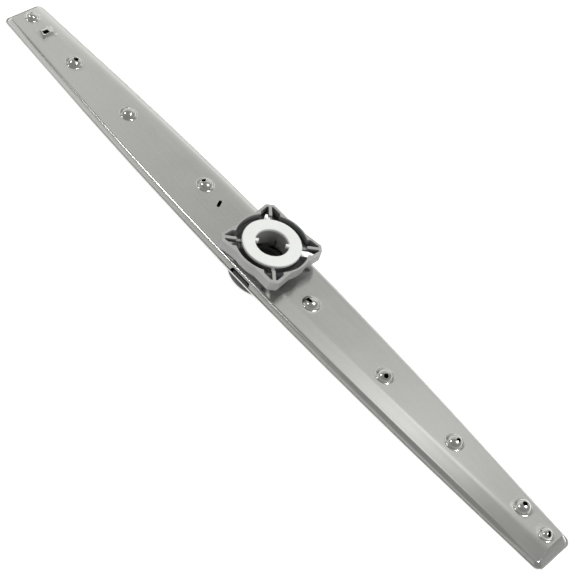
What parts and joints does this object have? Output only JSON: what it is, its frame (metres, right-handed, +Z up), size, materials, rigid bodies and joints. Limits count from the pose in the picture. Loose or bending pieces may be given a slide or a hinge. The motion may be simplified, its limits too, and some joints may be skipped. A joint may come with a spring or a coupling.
{
  "type": "dishwasher spray arm",
  "caption": "Long tapered stainless spray arm with domed jet nozzles, turning on a moulded hub with a lugged, keyed feed collar and a white bearing ring.",
  "frame": {"origin": "on the hub's axis, on the plane of the foot's underside", "axes": "+Z up along the hub's axis towards the feed ring, +X along the arm towards the end with the paired nozzles"},
  "size_m": [0.5417, 0.0556, 0.0297],
  "materials": {
    "stainless": "satin pressed sheet",
    "grey_plastic": "fine moulded texture",
    "white_plastic": "smooth turned bearing face"
  },
  "bodies": {
    "collar": {"hub_collar": "grey_plastic", "bearing_ring": "white_plastic"},
    "arm": {"upper_shell": "stainless", "lower_shell": "stainless", "upper_hub": "grey_plastic", "lower_hub": "grey_plastic"}
  },
  "joints": [
    {"name": "arm_spin", "type": "hinge", "parent": "collar", "child": "arm", "pos_m": [0, 0, 0.0209], "axis": [0, 0, 1], "continuous": true}
  ]
}
